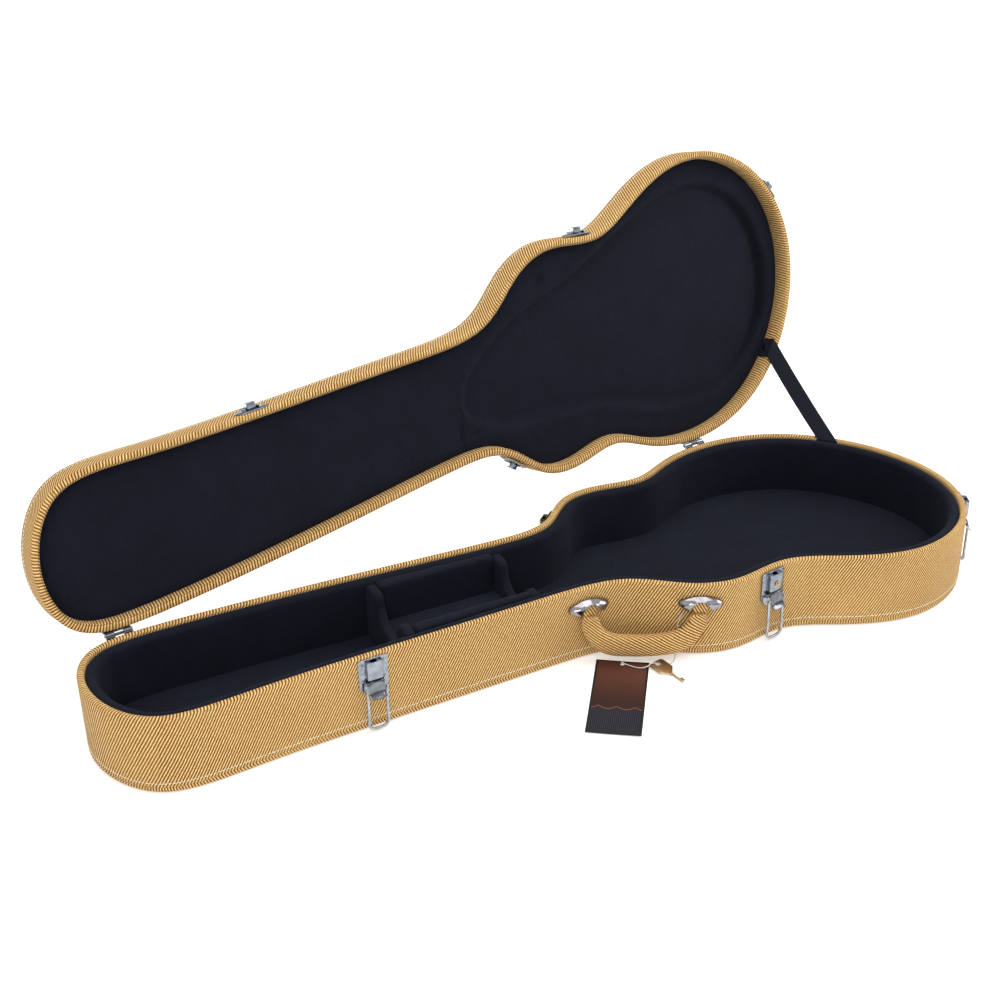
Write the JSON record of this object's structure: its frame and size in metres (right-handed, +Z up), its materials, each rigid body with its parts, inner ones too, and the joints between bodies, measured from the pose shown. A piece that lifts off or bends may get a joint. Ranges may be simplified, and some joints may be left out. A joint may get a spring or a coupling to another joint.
{
  "type": "guitar case",
  "caption": "Hard-shell guitar case shaped to a single-cutaway guitar, tweed outside and plush inside, with a hinged lid, draw latches, a swinging handle and an accessory compartment.",
  "frame": {"origin": "under the middle of the base, on the surface the case stands on", "axes": "+X along the case towards the wide body end, -Y towards the handle, +Y towards the hinges, +Z up"},
  "size_m": [1.0622, 0.5012, 0.447],
  "materials": {
    "tweed": "woven tweed cloth over plywood, gold and brown diagonal rib",
    "plush": "short-pile black plush over foam",
    "nickel": "polished nickel plate",
    "steel_wire": "plated steel wire",
    "brass": "dull bronzed brass",
    "webbing": "black woven webbing",
    "tag_card": "dark printed card",
    "string": "white elastic string"
  },
  "bodies": {
    "base": {"base_wall": "tweed", "base_panel": "tweed", "handle_left_loop": "tweed", "handle_right_loop": "tweed", "base_floor_pad": "plush", "base_side_lining": "plush", "cradle_neck_end": "plush", "cradle_body_end": "plush", "neck_pad_front": "plush", "neck_pad_back": "plush", "handle_left_cap": "nickel", "handle_right_cap": "nickel", "hinge_neck_base_leaf": "nickel", "hinge_body_base_leaf": "nickel", "strap_rivet_base": "nickel", "latch_neck_plate": "nickel", "latch_waist_plate": "nickel", "latch_tail_plate": "nickel", "latch_back_plate": "nickel", "hinge_neck_pin": "steel_wire", "hinge_body_pin": "steel_wire", "latch_neck_pin": "steel_wire", "latch_waist_pin": "steel_wire", "latch_tail_pin": "steel_wire", "latch_back_pin": "steel_wire", "key": "brass", "stay_strap": "webbing", "hang_tag": "tag_card", "tag_string": "string"},
    "lid": {"lid_wall": "tweed", "lid_panel": "tweed", "lid_inner_band": "tweed", "lid_pad": "plush", "lid_border_pad": "plush", "hinge_neck_lid_leaf": "nickel", "hinge_body_lid_leaf": "nickel", "strap_rivet_lid": "nickel", "latch_neck_catch": "nickel", "latch_waist_catch": "nickel", "latch_tail_catch": "nickel", "latch_back_catch": "nickel"},
    "handle": {"handle_grip": "tweed"},
    "compartment_door": {"compartment_lid": "plush", "compartment_pull_tab": "webbing"},
    "lock": {"lock_cylinder": "brass"},
    "lever_neck": {"latch_neck_lever": "nickel"},
    "bail_neck": {"latch_neck_bail": "steel_wire"},
    "lever_waist": {"latch_waist_lever": "nickel"},
    "bail_waist": {"latch_waist_bail": "steel_wire"},
    "lever_tail": {"latch_tail_lever": "nickel"},
    "bail_tail": {"latch_tail_bail": "steel_wire"},
    "lever_back": {"latch_back_lever": "nickel"},
    "bail_back": {"latch_back_bail": "steel_wire"}
  },
  "joints": [
    {"name": "lid_hinge", "type": "hinge", "parent": "base", "child": "lid", "pos_m": [0, 0.1855, 0.09225], "axis": [1, 0, 0], "range_deg": [0, 104.7], "deforming": ["stay_strap"]},
    {"name": "lever_neck_flip", "type": "hinge", "parent": "base", "child": "lever_neck", "pos_m": [-0.25825, -0.01032, 0.06], "axis": [0.9973, -0.0728, 0], "range_deg": [-90, 0]},
    {"name": "bail_neck_swing", "type": "hinge", "parent": "lever_neck", "child": "bail_neck", "pos_m": [-0.25852, -0.01411, 0.054], "axis": [-0.9973, 0.0728, 0], "range_deg": [0, 180]},
    {"name": "lever_waist_flip", "type": "hinge", "parent": "base", "child": "lever_waist", "pos_m": [0.201, -0.11613, 0.06], "axis": [0.9987, 0.0515, 0], "range_deg": [-90, 0]},
    {"name": "bail_waist_swing", "type": "hinge", "parent": "lever_waist", "child": "bail_waist", "pos_m": [0.2012, -0.11992, 0.054], "axis": [-0.9987, -0.0515, 0], "range_deg": [0, 180]},
    {"name": "lever_tail_flip", "type": "hinge", "parent": "base", "child": "lever_tail", "pos_m": [0.50969, -0.11633, 0.06], "axis": [0.5307, 0.8475, 0], "range_deg": [-90, 0]},
    {"name": "bail_tail_swing", "type": "hinge", "parent": "lever_tail", "child": "bail_tail", "pos_m": [0.51291, -0.11834, 0.054], "axis": [-0.5307, -0.8475, 0], "range_deg": [0, 180]},
    {"name": "lever_back_flip", "type": "hinge", "parent": "base", "child": "lever_back", "pos_m": [0.06125, 0.1405, 0.06], "axis": [-0.8069, -0.5907, 0], "range_deg": [-90, 0]},
    {"name": "bail_back_swing", "type": "hinge", "parent": "lever_back", "child": "bail_back", "pos_m": [0.059, 0.14357, 0.054], "axis": [0.8069, 0.5907, 0], "range_deg": [0, 180]},
    {"name": "handle_swing", "type": "hinge", "parent": "base", "child": "handle", "pos_m": [0.05238, -0.06758, 0.056], "axis": [-0.8459, 0.5333, 0], "range_deg": [0, 90]},
    {"name": "compartment_door_hinge", "type": "hinge", "parent": "base", "child": "compartment_door", "pos_m": [-0.11266, 0.09755, 0.044], "axis": [0.9934, -0.1149, 0], "range_deg": [-90, 0]},
    {"name": "lock_turn", "type": "hinge", "parent": "base", "child": "lock", "pos_m": [0.2012, -0.11992, 0.075], "axis": [0.0515, -0.9987, 0], "range_deg": [0, 90]}
  ]
}
